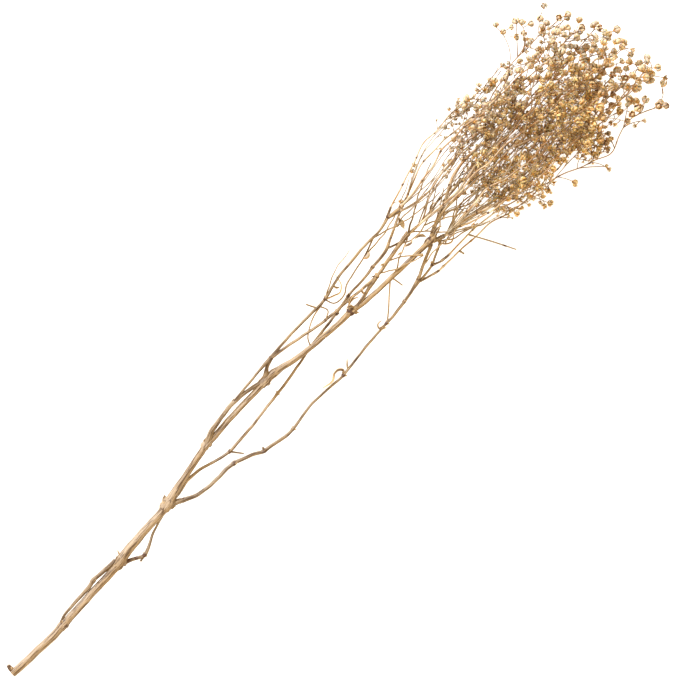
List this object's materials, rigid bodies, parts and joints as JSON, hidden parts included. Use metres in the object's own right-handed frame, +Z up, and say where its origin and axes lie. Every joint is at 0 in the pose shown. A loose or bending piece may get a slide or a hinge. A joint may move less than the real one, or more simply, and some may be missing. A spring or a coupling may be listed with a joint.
{
  "type": "dried gypsophila stem",
  "caption": "Dried flowering stem lying on its side: a woody stem with swollen joints, side branches and sprays of fine twigs ending in small round blooms.",
  "frame": {"origin": "middle of the lowest plane of the bounding box, on the surface the stem lies on", "axes": "+X along the stem from the cut end to the blooms, +Y across it to the left, +Z up"},
  "size_m": [0.704, 0.1494, 0.0801],
  "materials": {
    "stem_bark": "dry, faintly glossy straw-tan bark with fine lengthwise fibres and darker joints",
    "dry_bloom": "matt papery golden tan"
  },
  "bodies": {
    "root": {"main_stem": "stem_bark", "spray_crown": "dry_bloom", "spray_middle_upper": "dry_bloom", "spray_middle_lower": "dry_bloom", "spray_brown_lower": "dry_bloom", "spray_middle_high": "dry_bloom", "spray_under": "dry_bloom", "spray_left_under": "dry_bloom", "spray_fan": "dry_bloom", "spray_left_low": "dry_bloom", "spray_left_middle": "dry_bloom", "spray_left_high": "dry_bloom", "spray_outer_left": "dry_bloom", "spray_outer_thin": "dry_bloom", "spray_lower_edge": "dry_bloom", "spray_lower_thin": "dry_bloom", "spray_lower_high": "dry_bloom", "spray_top": "dry_bloom", "spray_bottom": "dry_bloom", "spray_far": "dry_bloom", "spray_right_far": "dry_bloom", "spray_left_far": "dry_bloom"}
  },
  "joints": []
}
